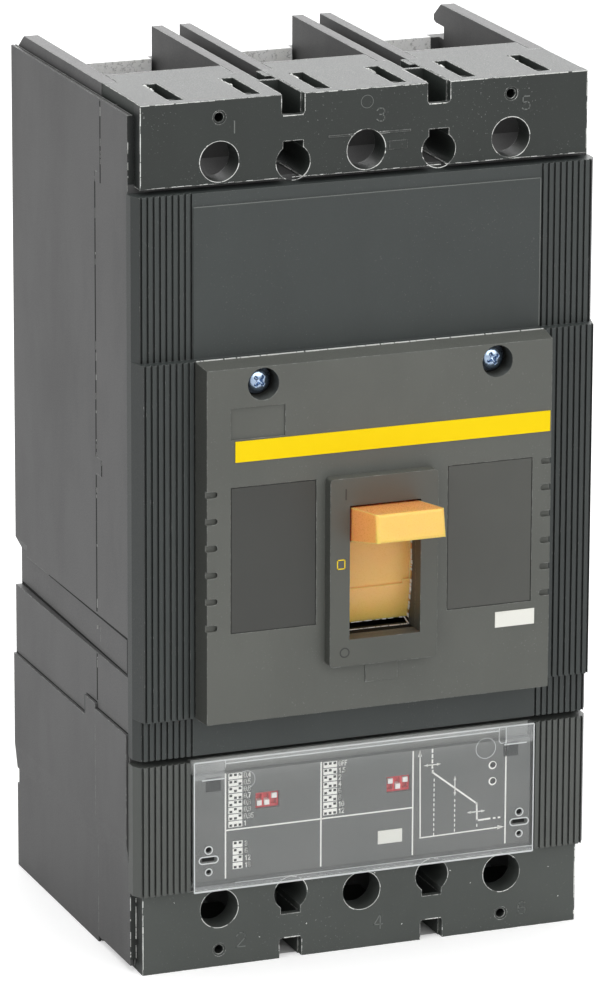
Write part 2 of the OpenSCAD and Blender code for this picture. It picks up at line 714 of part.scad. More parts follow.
// A block of three setting switches with its slots.
module dip_block(x) difference() {
  block(x - 1.5 * dip_pitch - fit, x + 1.5 * dip_pitch + fit, dip_foot, dip_face,
    dip_height - dip_half_high, dip_height + dip_half_high);
  for (i = [-1:1])
    block(x + i * dip_pitch - slider_half - slider_gap, x + i * dip_pitch + slider_half + slider_gap,
      dip_face - 1.6, dip_face + 1, dip_height - dip_travel / 2 - slider_half - slider_gap,
      dip_height + dip_travel / 2 + slider_half + slider_gap);
}

// One setting switch slider, up or down in its slot.
module dip_slider(x, up)
  translate([0, 0, dip_height + up * dip_travel / 2])
    block(x - slider_half, x + slider_half, dip_face - 1.5, dip_face + 0.5,
      -slider_half, slider_half);

module dip_block_left() color([0.78, 0.1, 0.1]) dip_block(dip_left);

module dip_block_right() color([0.78, 0.1, 0.1]) dip_block(dip_right);

module dip_slider_left_1() color([0.95, 0.95, 0.93]) dip_slider(dip_left - dip_pitch, -1);

module dip_slider_left_2() color([0.95, 0.95, 0.93]) dip_slider(dip_left, -1);

module dip_slider_left_3() color([0.95, 0.95, 0.93]) dip_slider(dip_left + dip_pitch, 1);

module dip_slider_right_1() color([0.95, 0.95, 0.93]) dip_slider(dip_right - dip_pitch, 1);

module dip_slider_right_2() color([0.95, 0.95, 0.93]) dip_slider(dip_right, -1);

module dip_slider_right_3() color([0.95, 0.95, 0.93]) dip_slider(dip_right + dip_pitch, 1);

base_housing();
middle_housing();
line_terminal_block();
load_terminal_block();
front_cover();
accessory_cover();
handle_frame();
colour_stripe();
rating_plate_left();
rating_plate_right();
info_sticker();
cover_screw_left();
cover_screw_right();
operating_handle();
handle_pivot_pin();
line_terminal_left();
line_terminal_centre();
line_terminal_right();
load_terminal_left();
load_terminal_centre();
load_terminal_right();
trip_unit_housing();
trip_panel();
clear_cover();
value_label();
dip_block_left();
dip_block_right();
dip_slider_left_1();
dip_slider_left_2();
dip_slider_left_3();
dip_slider_right_1();
dip_slider_right_2();
dip_slider_right_3();
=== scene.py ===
from contextlib import contextmanager
import math
import random

import bmesh
import bpy
from mathutils import Matrix, Vector


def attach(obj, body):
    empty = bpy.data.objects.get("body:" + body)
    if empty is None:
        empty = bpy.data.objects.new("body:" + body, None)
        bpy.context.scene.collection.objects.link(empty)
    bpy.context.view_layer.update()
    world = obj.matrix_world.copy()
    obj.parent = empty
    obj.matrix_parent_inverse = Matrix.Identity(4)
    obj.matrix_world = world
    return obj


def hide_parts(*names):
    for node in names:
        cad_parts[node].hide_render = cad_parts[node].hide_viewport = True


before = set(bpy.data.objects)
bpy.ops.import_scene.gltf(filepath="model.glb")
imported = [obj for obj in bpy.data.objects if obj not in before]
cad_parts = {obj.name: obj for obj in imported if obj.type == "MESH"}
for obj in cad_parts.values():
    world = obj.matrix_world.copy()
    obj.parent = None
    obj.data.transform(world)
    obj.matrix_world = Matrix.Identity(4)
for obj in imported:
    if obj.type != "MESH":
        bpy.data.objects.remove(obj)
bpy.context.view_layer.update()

MM = 0.001
WHITE = (1.0, 1.0, 1.0, 1.0)

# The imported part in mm: heights and half widths from its middle, depths from its back.
POLE = 43.75                            # between two poles
HALF_POLE = POLE / 2
SLOT_FOOT = 113.7                       # inner end of the barrier slots
OUTER_WALL = 67.1                       # sides of the base beside the terminal blocks
PLAIN = 69.2                            # plain part of the sides
GRIP_FOOT, GRIP_TOP = -39.2, -28.0      # finger grip along the sides
PANEL_BACK, PANEL_JOG = -60.3, -54.4    # top of the lower side panel, behind and in front
SEAM_LOW, SEAM_HIGH = 72.0, 76.6        # depths of the shell's stepped seam
SHOULDER_FACE = 98.9
BLOCK_FACE = 103.5
PANEL_FACE = 104.4
LID_FACE = 106.3
LID_PRINT_X = 48.0                      # middle of the lid's slots and holes
SCREW_X, SCREW_Z, SCREW_BASE = 35.3, 48.2, 110.02
FRAME_FACE = 120.0
WINDOW_HALF, WINDOW_FOOT = 10.76, -27.83
SHIELD_R, PIVOT_D, PIVOT_Z = 65.05, 47.5, -8.2


def linear(r, g, b, a=1.0):
    """A screen colour, 0 to 255 a channel, as a linear colour."""
    def one(c):
        c /= 255.0
        return c / 12.92 if c <= 0.04045 else ((c + 0.055) / 1.055) ** 2.4
    return (one(r), one(g), one(b), a)


def grey(v):
    return (v, v, v, 1.0)


def shade(c, f):
    return (min(c[0] * f, 1.0), min(c[1] * f, 1.0), min(c[2] * f, 1.0), 1.0)


# ---------------------------------------------------------------- node helpers

def new_material(name):
    m = bpy.data.materials.new(name)
    m.use_nodes = True
    nt = m.node_tree
    nt.nodes.clear()
    out = nt.nodes.new("ShaderNodeOutputMaterial")
    shader = nt.nodes.new("ShaderNodeBsdfPrincipled")
    nt.links.new(shader.outputs[0], out.inputs[0])
    return m, nt, shader


def feed(nt, socket, value):
    """Link a socket to another, or give it a plain value."""
    if isinstance(value, bpy.types.NodeSocket):
        nt.links.new(value, socket)
    else:
        socket.default_value = value


def maths(nt, how, *values):
    n = nt.nodes.new("ShaderNodeMath")
    n.operation = how
    for socket, value in zip(n.inputs, values):
        feed(nt, socket, value)
    return n.outputs[0]


def coords(nt, kind="Object"):
    return nt.nodes.new("ShaderNodeTexCoord").outputs[kind]


def stretched(nt, coord, scale):
    n = nt.nodes.new("ShaderNodeMapping")
    n.inputs["Scale"].default_value = scale
    nt.links.new(coord, n.inputs["Vector"])
    return n.outputs[0]


def noise(nt, coord, scale, detail, rough):
    n = nt.nodes.new("ShaderNodeTexNoise")
    n.inputs["Scale"].default_value = scale
    n.inputs["Detail"].default_value = detail
    n.inputs["Roughness"].default_value = rough
    nt.links.new(coord, n.inputs["Vector"])
    return n.outputs["Fac"]


def ramp(nt, source, stops):
    """Colours at (position, colour) stops of a socket's value."""
    r = nt.nodes.new("ShaderNodeValToRGB")
    first, last = r.color_ramp.elements
    first.position, first.color = stops[0]
    last.position, last.color = stops[-1]
    for position, colour in stops[1:-1]:
        r.color_ramp.elements.new(position).color = colour
    nt.links.new(source, r.inputs[0])
    return r.outputs[0]


def mix(nt, factor, a, b, how="MIX"):
    """Mix two colours; a and b are sockets or plain colours, factor a socket or number."""
    n = nt.nodes.new("ShaderNodeMix")
    n.data_type = "RGBA"
    n.blend_type = how
    for socket, value in ((n.inputs["Factor"], factor), (n.inputs[6], a), (n.inputs[7], b)):
        feed(nt, socket, value)
    return n.outputs[2]


def times(nt, a, b):
    return maths(nt, "MULTIPLY", a, b)


def part_of(nt, vector, axis):
    n = nt.nodes.new("ShaderNodeSeparateXYZ")
    nt.links.new(vector, n.inputs[0])
    return n.outputs[axis]


def span(nt, socket, low, high):
    """0 at low and 1 at high, held at both ends."""
    n = nt.nodes.new("ShaderNodeMapRange")
    n.inputs["From Min"].default_value = low
    n.inputs["From Max"].default_value = high
    nt.links.new(socket, n.inputs["Value"])
    return n.outputs[0]


def within(nt, sockets, limits):
    """1 where each of two sockets lies between its limits in mm, else 0."""
    masks = []
    for i, socket in enumerate(sockets):
        a, b = limits[2 * i:2 * i + 2]
        masks.append(maths(nt, "COMPARE", socket, (a + b) / 2 * MM, (b - a) / 2 * MM))
    return times(nt, *masks)


def occlusion(nt, distance, inside):
    """Open, 1, to closed, 0, within a distance in mm; inside finds edges, outside crevices."""
    n = nt.nodes.new("ShaderNodeAmbientOcclusion")
    n.samples = 6
    n.inside = inside
    n.only_local = inside
    n.inputs["Distance"].default_value = distance * MM
    return n.outputs["AO"]


def soft_relief(nt, shader, height, strength, distance, radius):
    """Bump of a height socket over corners rounded by a radius in mm."""
    bevel = nt.nodes.new("ShaderNodeBevel")
    bevel.samples = 4
    bevel.inputs["Radius"].default_value = radius * MM
    bump = nt.nodes.new("ShaderNodeBump")
    bump.inputs["Strength"].default_value = strength
    bump.inputs["Distance"].default_value = distance
    nt.links.new(height, bump.inputs["Height"])
    nt.links.new(bevel.outputs[0], bump.inputs["Normal"])
    nt.links.new(bump.outputs[0], shader.inputs["Normal"])


def rough_between(nt, shader, source, low, high):
    stops = [(0.3, grey(low)), (0.7, grey(high))]
    nt.links.new(ramp(nt, source, stops), shader.inputs["Roughness"])


# ---------------------------------------------------------------- materials

def moulded(name, colour, rough=0.5, grain=0.35, radius=0.35, mottling=0.06, wear=None,
            speck=0.0, cavity=(2.5, 0.2), specular=0.5, subsurface=0.0, smudge=0.0,
            side=1.0, tint=None, quiet=None, dark_zone=None):
    """Moulded plastic: spark-eroded grain, mottling, lighter corners and painted shade in crevices.

    wear is (colour, width in mm, how much of the edges) of lighter edges, partly worn plastic and
    partly a painted highlight; cavity is (reach in mm, darkest tone) of painted shade in crevices;
    side the painted shade on faces to the left or right; tint (axis, [(mm, colour)]) painted light
    and shade changing slowly along an axis; quiet (x0, x1, z0, z1) a zone in mm on both sides where
    edges are less worn; dark_zone (y0, y1, z0, z1) a zone in mm painted black as the shade of an
    open seam.
    """
    m, nt, s = new_material(name)
    coord = coords(nt)
    large = noise(nt, coord, 28.0, 4.0, 0.6)
    fine = noise(nt, coord, 2600.0, 2.0, 0.5)
    tone = ramp(nt, large, [(0.3, shade(colour, 1 - mottling)), (0.7, shade(colour, 1 + mottling))])
    # faces to the left or right darkened: painted shade
    if side < 1.0:
        sideways = maths(nt, "ABSOLUTE", part_of(nt, coords(nt, "Normal"), 0))
        turned = ramp(nt, sideways, [(0.62, grey(1.0)), (0.86, grey(side))])
        tone = mix(nt, 1.0, tone, turned, "MULTIPLY")
    # light and shade painted along an axis
    if tint:
        axis, stops = tint
        low, high = stops[0][0], stops[-1][0]
        along = span(nt, part_of(nt, coord, axis), low * MM, high * MM)
        toned = ramp(nt, along, [((v - low) / (high - low), c) for v, c in stops])
        tone = mix(nt, 1.0, tone, toned, "MULTIPLY")
    if smudge:
        streaks = noise(nt, stretched(nt, coord, (1.0, 1.0, 0.35)), 42.0, 6.0, 0.66)
        rubbed = ramp(nt, streaks, [(0.34, grey(1 - smudge)), (0.56, grey(1.0)), (0.72, grey(1.0))])
        tone = mix(nt, 1.0, tone, rubbed, "MULTIPLY")
    if speck:
        dots = ramp(nt, noise(nt, coord, 2100.0, 1.0, 0.4),
                    [(0.71, grey(0.0)), (0.77, grey(speck))])
        patches = ramp(nt, noise(nt, coord, 45.0, 2.0, 0.6),
                       [(0.42, grey(0.15)), (0.62, grey(1.0))])
        tone = mix(nt, times(nt, dots, patches), tone, grey(0.36))
    # lighter edges: partly worn plastic, partly a painted highlight
    if wear:
        edge_colour, width, amount = wear
        edge = ramp(nt, occlusion(nt, width, True), [(0.56, grey(1.0)), (0.9, grey(0.0))])
        worn = ramp(nt, noise(nt, coord, 420.0, 6.0, 0.78),
                    [(0.6 - 0.3 * amount, grey(0.14)), (0.7 - 0.3 * amount, grey(1.0))])
        edge = times(nt, edge, worn)
        if quiet:
            off_middle = maths(nt, "ABSOLUTE", part_of(nt, coord, 0))
            out = within(nt, (off_middle, part_of(nt, coord, 2)), quiet)
            edge = times(nt, edge, ramp(nt, out, [(0.0, grey(1.0)), (1.0, grey(0.25))]))
        tone = mix(nt, edge, tone, edge_colour)
    # a near-black patch: painted shade of an open seam
    if dark_zone:
        zone = within(nt, (part_of(nt, coord, 1), part_of(nt, coord, 2)), dark_zone)
        tone = mix(nt, zone, tone, linear(16, 16, 16))
    # darker in crevices: painted shade
    if cavity:
        reach, darkest = cavity
        deep = grey(darkest) if isinstance(darkest, float) else darkest
        shadow = ramp(nt, occlusion(nt, reach, False), [(0.1, deep), (0.5, grey(1.0))])
        tone = mix(nt, 1.0, tone, shadow, "MULTIPLY")
    nt.links.new(tone, s.inputs["Base Color"])
    s.inputs["Base Color"].default_value = colour
    s.inputs["Specular IOR Level"].default_value = specular
    if subsurface:
        s.inputs["Subsurface Weight"].default_value = subsurface
        s.inputs["Subsurface Radius"].default_value = (1.0, 0.5, 0.15)
        s.inputs["Subsurface Scale"].default_value = 0.006
    rough_between(nt, s, fine, rough - 0.06, rough + 0.08)
    soft_relief(nt, s, fine, grain, 0.00004, radius)
    return m


def plated(name, colour, rough=0.3, brush=(1.0, 1.0, 14.0), metal=1.0,
           pits=0.15, pit_scale=160.0, cast=1.0, deepest=0.3):
    """Plated metal: brushing or cast pits, cloudy tone, soft corners, painted shade in hollows."""
    m, nt, s = new_material(name)
    s.inputs["Metallic"].default_value = metal
    coord = coords(nt)
    streak = noise(nt, stretched(nt, coord, brush), pit_scale, 5.0, 0.65)
    cloud = noise(nt, coord, 120.0, 3.0, 0.5)
    tone = ramp(nt, cloud, [(0.3, shade(colour, 0.9)), (0.7, shade(colour, 1.05))])
    if cast < 1.0:
        dents = ramp(nt, noise(nt, coord, 900.0, 4.0, 0.75),
                     [(0.36, grey(cast)), (0.47, grey(1.0))])
        tone = mix(nt, 1.0, tone, dents, "MULTIPLY")
    # painted shade in hollows and crevices, as dark as deepest
    shadow = ramp(nt, occlusion(nt, 2.0, False), [(0.05, grey(deepest)), (0.45, grey(1.0))])
    nt.links.new(mix(nt, 1.0, tone, shadow, "MULTIPLY"), s.inputs["Base Color"])
    s.inputs["Base Color"].default_value = colour
    rough_between(nt, s, streak, rough - 0.06, rough + 0.14)
    soft_relief(nt, s, streak, pits, 0.0002, 0.25)
    return m


def clear_plastic(name, veil, rough):
    """Thin clear polycarbonate: what is behind it stays crisp under a faint cloudy veil."""
    m, nt, s = new_material(name)
    haze = noise(nt, coords(nt), 90.0, 3.0, 0.5)
    nt.links.new(ramp(nt, haze, [(0.3, (0.86, 0.9, 0.9, 1)), (0.7, (0.96, 0.98, 0.98, 1))]),
                 s.inputs["Base Color"])
    s.inputs["Base Color"].default_value = (0.93, 0.96, 0.96, 1)
    rough_between(nt, s, haze, rough, rough + 0.05)
    s.inputs["Alpha"].default_value = veil
    return m


CHIP = linear(232, 234, 230)
GREY_EDGE = linear(156, 159, 156)
MATS = {}


def add(make, name, *args, **options):
    MATS[name] = make(name, *args, **options)


# In these materials cavity paints shade into crevices, and side below 1 paints shade on faces to
# the left or right.
add(moulded, "dark_block", linear(38, 43, 40), 0.5, wear=(CHIP, 0.26, 0.5), speck=0.5, smudge=0.16,
    cavity=(3.0, 0.05), quiet=(6.9, 15.5, 107.0, 117.0))
# near-black painted shade for the line block's side faces
add(moulded, "block_side", linear(24, 27, 26), 0.4, speck=0.9, mottling=0.2, cavity=None)
add(moulded, "load_block", linear(74, 78, 75), 0.5, wear=(CHIP, 0.24, 0.45), speck=0.4,
    smudge=0.06, cavity=(3.0, 0.05))
# darker towards the bottom and a black patch at the side panel's jog: painted shade
add(moulded, "case_side", linear(84, 84, 84), 0.55, wear=(GREY_EDGE, 0.22, 0.4), smudge=0.2,
    tint=(2, [(-127.0, grey(0.84)), (-60.0, grey(1.0)), (127.0, grey(1.0))]),
    dark_zone=(-63.6, -62.3, -60.2, -54.4))
add(moulded, "ribbed", linear(56, 61, 60), 0.48, wear=(GREY_EDGE, 0.12, 0.1), cavity=(2.0, 0.12),
    smudge=0.08, side=0.62, speck=0.15)
add(moulded, "trip_case", linear(84, 87, 84), 0.48, wear=(GREY_EDGE, 0.12, 0.1),
    cavity=(2.0, 0.12), side=0.8)
add(moulded, "plate", linear(91, 93, 88), 0.5, wear=(GREY_EDGE, 0.22, 0.35), cavity=(0.7, 0.45),
    smudge=0.08, side=0.4, speck=0.25)
add(moulded, "frame_dark", linear(84, 86, 81), 0.5, wear=(GREY_EDGE, 0.2, 0.3), cavity=(5.0, 0.12),
    side=0.5)
# lighter towards the top: painted light against the shade under the cover's top
add(moulded, "panel", linear(88, 90, 88), 0.5, grain=0.08, cavity=None, mottling=0.03,
    tint=(2, [(-76.0, grey(1.0)), (-71.0, grey(1.25)), (-68.6, grey(1.8))]))
add(moulded, "panel_ink", linear(16, 17, 17), 0.5, grain=0.1, radius=0.05, cavity=None,
    specular=0.2)
# painted light and shade along the handle's depth, painted orange shade in crevices and painted
# highlights on its edges
add(moulded, "orange", linear(255, 255, 255), 0.3, grain=0.03, radius=0.9, mottling=0.0,
    cavity=(1.6, linear(225, 150, 120)), wear=(linear(255, 226, 140), 0.3, 1.0), subsurface=0.6,
    tint=(1, [(-139.0, linear(255, 206, 106)), (-137.0, linear(255, 178, 92)),
              (-116.0, linear(255, 160, 92)), (-112.5, linear(255, 190, 118)),
              (-109.5, linear(255, 206, 104))]))
add(moulded, "yellow", linear(255, 220, 0), 0.45, grain=0.1, radius=0.1, mottling=0.02,
    cavity=None, specular=0.15)
add(moulded, "label_left", linear(60, 61, 58), 0.42, grain=0.1, radius=0.1, cavity=(0.6, 0.3))
add(moulded, "label_right", linear(77, 78, 74), 0.42, grain=0.1, radius=0.1, cavity=(0.6, 0.3))
add(moulded, "label_pale", linear(240, 240, 232), 0.5, grain=0.1, radius=0.1, mottling=0.02,
    cavity=(0.5, 0.5))
add(moulded, "red", linear(232, 34, 48), 0.35, grain=0.1, radius=0.15, cavity=(0.8, 0.45))
add(moulded, "slider", linear(255, 255, 250), 0.4, grain=0.1, radius=0.15, mottling=0.02,
    cavity=(0.5, 0.6))
add(moulded, "print_white", linear(255, 255, 250), 0.5, grain=0.1, radius=0.05, mottling=0.0,
    cavity=None)
add(moulded, "print_yellow", linear(255, 225, 10), 0.5, grain=0.1, radius=0.05, mottling=0.02,
    cavity=None)
# light chips of worn plastic; also a painted highlight along a step across the front
add(moulded, "chip", CHIP, 0.6, grain=0.2, radius=0.05, mottling=0.2, cavity=None)
add(moulded, "flash", linear(168, 168, 166), 0.6, grain=0.2, radius=0.05, mottling=0.25,
    cavity=None)
# raised marks; also painted highlights along a panel's top and right edges
add(moulded, "emboss", linear(112, 116, 113), 0.5, grain=0.1, radius=0.1, mottling=0.1,
    cavity=None)
add(moulded, "emboss_dark", linear(52, 53, 51), 0.5, grain=0.1, radius=0.1, mottling=0.1,
    cavity=None)
add(moulded, "latch_grey", linear(30, 31, 30), 0.5, grain=0.1, radius=0.1, mottling=0.1,
    cavity=None, specular=0.2)
# dark painted shade for the load block's side faces
add(moulded, "load_side", linear(44, 47, 45), 0.45, mottling=0.3, speck=0.9, cavity=None)
# near-black painted shade for seams, the window and the screw counterbores
add(moulded, "seam_dark", linear(18, 18, 18), 0.7, grain=0.2, radius=0.05, mottling=0.3,
    cavity=None, specular=0.2, speck=0.6)
# painted shade with an olive painted reflection of the handle
add(moulded, "olive_dark", linear(46, 44, 28), 0.6, grain=0.2, radius=0.05, mottling=0.3,
    cavity=None)
add(plated, "tinned", linear(255, 255, 250), 0.5, brush=(1.0, 1.0, 1.0), metal=0.05, pits=0.5,
    pit_scale=420.0, cast=0.6)
add(plated, "zinc", linear(176, 196, 222), 0.14, deepest=0.02)
# washers darker than the heads: painted shade of the counterbores
add(plated, "washer", linear(66, 72, 80), 0.25, deepest=0.05)
add(clear_plastic, "clear", veil=0.075, rough=0.05)
# bright sheets on the clear cover: painted light and painted highlights
add(clear_plastic, "clear_band", veil=0.13, rough=0.2)
add(clear_plastic, "clear_edge", veil=0.62, rough=0.3)
# light grey for the top of the panel: painted light
add(moulded, "panel_head", linear(158, 160, 157), 0.5, grain=0.08, cavity=None, mottling=0.03)

NODE_MATS = {
    "base_housing": "case_side", "middle_housing": "case_side",
    "line_terminal_block": "dark_block", "load_terminal_block": "load_block",
    "front_cover": "ribbed", "accessory_cover": "plate", "handle_frame": "frame_dark",
    "colour_stripe": "yellow", "rating_plate_left": "label_left",
    "rating_plate_right": "label_right", "info_sticker": "label_pale",
    "cover_screw_left": "zinc", "cover_screw_right": "zinc",
    "operating_handle": "orange", "handle_pivot_pin": "zinc",
    "trip_unit_housing": "trip_case", "trip_panel": "panel", "clear_cover": "clear",
    "value_label": "label_pale", "dip_block_left": "red", "dip_block_right": "red",
}
for name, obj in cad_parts.items():
    if name in NODE_MATS:
        key = NODE_MATS[name]
    elif "terminal" in name:
        key = "tinned"
    else:
        key = "slider"
    obj.data.materials.clear()
    obj.data.materials.append(MATS[key])


# ---------------------------------------------------------------- mesh helpers

rng = random.Random(7)


def finish_mesh(name, bm, mat, body, smooth=False):
    bmesh.ops.recalc_face_normals(bm, faces=bm.faces)
    mesh = bpy.data.meshes.new(name)
    bm.to_mesh(mesh)
    bm.free()
    if smooth:
        mesh.shade_smooth()
    obj = bpy.data.objects.new(name, mesh)
    bpy.context.collection.objects.link(obj)
    mesh.materials.append(MATS[mat])
    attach(obj, body)
    return obj


@contextmanager
def piece(name, mat, body, slot):
    """One piece: what is added to its bmesh becomes an object on that body."""
    bm = bmesh.new()
    yield bm
    finish_mesh(name, bm, mat, body)


def mirrored(side, near, far):
    """From near to far on one side of the middle, low end first."""
    return sorted((side * near, side * far))


def print_pad(bm, points, depth, thick=0.06):
    """A thin patch, for print and for painted light and shade: points are (x, z) on the front,
    depth its outer face.
    """
    front = [bm.verts.new((x * MM, -depth * MM, z * MM)) for x, z in points]
    back = [bm.verts.new((x * MM, -(depth - thick) * MM, z * MM)) for x, z in points]
    bm.faces.new(front)
    bm.faces.new(list(reversed(back)))
    n = len(points)
    for i in range(n):
        j = (i + 1) % n
        bm.faces.new([front[j], front[i], back[i], back[j]])


def rect(x0, x1, z0, z1):
    return [(x0, z0), (x1, z0), (x1, z1), (x0, z1)]


def pads(bm, depth, *rects):
    """Thin rectangles of painted light and painted highlights, each (x0, x1, z0, z1)."""
    for limits in rects:
        print_pad(bm, rect(*limits), depth)


def stroke(a, b, w):
    """A straight line of width w between two points, its ends run out by half the width."""
    dx, dz = b[0] - a[0], b[1] - a[1]
    n = math.hypot(dx, dz) or 1.0
    ex, ez = dx / n * w / 2, dz / n * w / 2
    ox, oz = -ez, ex
    return [(a[0] - ex + ox, a[1] - ez + oz), (b[0] + ex + ox, b[1] + ez + oz),
            (b[0] + ex - ox, b[1] + ez - oz), (a[0] - ex - ox, a[1] - ez - oz)]


def path(bm, points, w, depth):
    for a, b in zip(points, points[1:]):
        print_pad(bm, stroke(a, b, w), depth)


def dashed(bm, x, top, foot, step, length, w, depth):
    """A broken upright line, from the top down."""
    while top > foot:
        path(bm, [(x, top), (x, top - length)], w, depth)
        top -= step


def dashes(bm, a, b, w, depth, lit=0.5, longest=2.2):
    """A worn edge on the front: short bright dashes of uneven length and width."""
    n = math.hypot(b[0] - a[0], b[1] - a[1])

    def at(u):
        return (a[0] + (b[0] - a[0]) * u, a[1] + (b[1] - a[1]) * u)

    t = 0.0
    while t < n:
        step = rng.uniform(0.15, longest)
        if rng.random() < lit:
            ends = at(t / n), at(min(t + step, n) / n)
            print_pad(bm, stroke(*ends, w * rng.uniform(0.45, 1.0)), depth)
        t += step + rng.uniform(0.05, 0.5)


def ring(bm, cx, cz, r0, r1, depth, n=24, start=0.0, sweep=360.0):
    for i in range(n):
        a = math.radians(start + sweep * i / n)
        b = math.radians(start + sweep * (i + 1) / n)
        print_pad(bm, [(cx + r * math.cos(t), cz + r * math.sin(t))
                       for r, t in ((r0, a), (r1, a), (r1, b), (r0, b))], depth)


def stadium(bm, cx, cz, half, r, w, depth):
    """Outline of a slot with round ends."""
    for side in (-1, 1):
        edge = cz + side * r
        print_pad(bm, rect(cx - half + r, cx + half - r, edge - w / 2, edge + w / 2), depth)
    ring(bm, cx - half + r, cz, r - w / 2, r + w / 2, depth, 10, start=90, sweep=180)
    ring(bm, cx + half - r, cz, r - w / 2, r + w / 2, depth, 10, start=-90, sweep=180)


def disc(bm, cx, cz, r, depth):
    print_pad(bm, [(cx + r * math.cos(math.radians(t)), cz + r * math.sin(math.radians(t)))
                   for t in range(0, 360, 20)], depth)


def arrow(bm, tip, angle, size, depth):
    a = math.radians(angle)
    c, s = math.cos(a), math.sin(a)
    pts = [(0.0, 0.0), (-size, size * 0.32), (-size, -size * 0.32)]
    print_pad(bm, [(tip[0] + x * c - z * s, tip[1] + x * s + z * c) for x, z in pts], depth)


def double_arrow(bm, x, z, line, tips, depth, upright=False):
    """A short line about a point with an arrow head beyond each end."""
    ways = ((0, 1, 90), (0, -1, 270)) if upright else ((-1, 0, 180), (1, 0, 0))
    path(bm, [(x + line * i, z + line * j) for i, j, _ in ways], 0.3, depth)
    for i, j, angle in ways:
        arrow(bm, (x + tips * i, z + tips * j), angle, 1.3, depth)


def box(bm, x0, x1, d0, d1, z0, z1):
    """A block between two sides, two depths and two heights."""
    vs = [bm.verts.new((x * MM, -d * MM, z * MM))
          for x in (x0, x1) for d in (d0, d1) for z in (z0, z1)]
    for q in ((0, 1, 3, 2), (4, 6, 7, 5), (0, 4, 5, 1), (2, 3, 7, 6), (0, 2, 6, 4), (1, 5, 7, 3)):
        bm.faces.new([vs[i] for i in q])


def tube(bm, rows):
    """Skin over rows of four corners each, closed at both ends."""
    for a, b in zip(rows, rows[1:]):
        for q in range(4):
            bm.faces.new([a[q], a[(q + 1) % 4], b[(q + 1) % 4], b[q]])
    bm.faces.new(rows[0])
    bm.faces.new(list(reversed(rows[-1])))


def side_strip(bm, side, points, proud=0.03):
    """A thin strip on a side, for the painted shade of seams and block sides and for flash:
    points are (x, depth, z low, z high), joined one to the next.
    """
    tube(bm, [[bm.verts.new((side * (x + out) * MM, -d * MM, z * MM))
               for out, z in ((proud, z0), (proud, z1), (-0.3, z1), (-0.3, z0))]
              for x, d, z0, z1 in points])


# Digits as strokes in a box 0.6 wide and 1 high.
NOUGHT = [(0, .18), (0, .82), (.14, 1), (.46, 1), (.6, .82), (.6, .18), (.46, 0), (.14, 0),
          (0, .18)]
DIGITS = {
    "0": [NOUGHT], "O": [NOUGHT],
    "1": [[(.12, .76), (.36, 1), (.36, 0)]],
    "2": [[(0, .8), (.14, 1), (.46, 1), (.6, .82), (.6, .62), (0, 0), (.6, 0)]],
    "3": [[(0, .85), (.15, 1), (.45, 1), (.6, .85), (.6, .66), (.42, .52), (.6, .38), (.6, .15),
           (.45, 0), (.15, 0), (0, .15)], [(.42, .52), (.22, .52)]],
    "4": [[(.46, 0), (.46, 1), (0, .3), (.62, .3)]],
    "5": [[(.55, 1), (.06, 1), (.03, .55), (.42, .6), (.6, .42), (.6, .15), (.45, 0), (.12, 0),
           (0, .12)]],
    "6": [[(.56, .9), (.42, 1), (.15, 1), (0, .8), (0, .15), (.15, 0), (.45, 0), (.6, .15),
           (.6, .4), (.45, .55), (.15, .55), (0, .4)]],
    "7": [[(0, 1), (.6, 1), (.2, 0)]],
    "8": [[(.15, .53), (.02, .68), (.02, .87), (.15, 1), (.45, 1), (.58, .87), (.58, .68),
           (.45, .53), (.15, .53), (0, .38), (0, .13), (.15, 0), (.45, 0), (.6, .13), (.6, .38),
           (.45, .53)]],
    "9": [[(.6, .6), (.45, .45), (.15, .45), (0, .6), (0, .85), (.15, 1), (.45, 1), (.6, .85),
           (.6, .2), (.45, 0), (.15, 0), (.04, .1)]],
    ".": [[(.06, .0), (.06, .08)]],
    "F": [[(0, 0), (0, 1), (.55, 1)], [(0, .5), (.45, .5)]],
}


def number(bm, text, x, z, high, w, depth, squeeze=1.0):
    """A number drawn in strokes, its lower left corner at x, z."""
    for ch in text:
        for line in DIGITS[ch]:
            path(bm, [(x + px * high * squeeze, z + pz * high) for px, pz in line], w, depth)
        x += high * (0.25 if ch == "." else 0.6 * squeeze + 0.24)


def switch_table(white, ink, x0, x1, top, pitch, columns, values, text_x):
    """Rows of small drawn switches, each with its value beside it."""
    step = (x1 - x0) / columns
    for row, value in enumerate(values):
        z1 = top - row * pitch
        z0 = z1 - pitch + 0.26
        print_pad(white, rect(x0, x1, z0, z1), PRINT)
        for col in range(columns):
            up = not (row >> (columns - 1 - col)) & 1
            cx = x0 + (col + 0.5) * step
            cz = z1 - 0.55 if up else z0 + 0.55
            print_pad(ink, rect(cx - 0.42, cx + 0.42, cz - 0.36, cz + 0.36), INK)
        number(white, value, text_x, z0 + 0.2, 1.4, 0.23, PRINT, 0.7)


# ---------------------------------------------------------------- settings panel

PRINT = PANEL_FACE + 0.04
INK = PRINT + 0.03

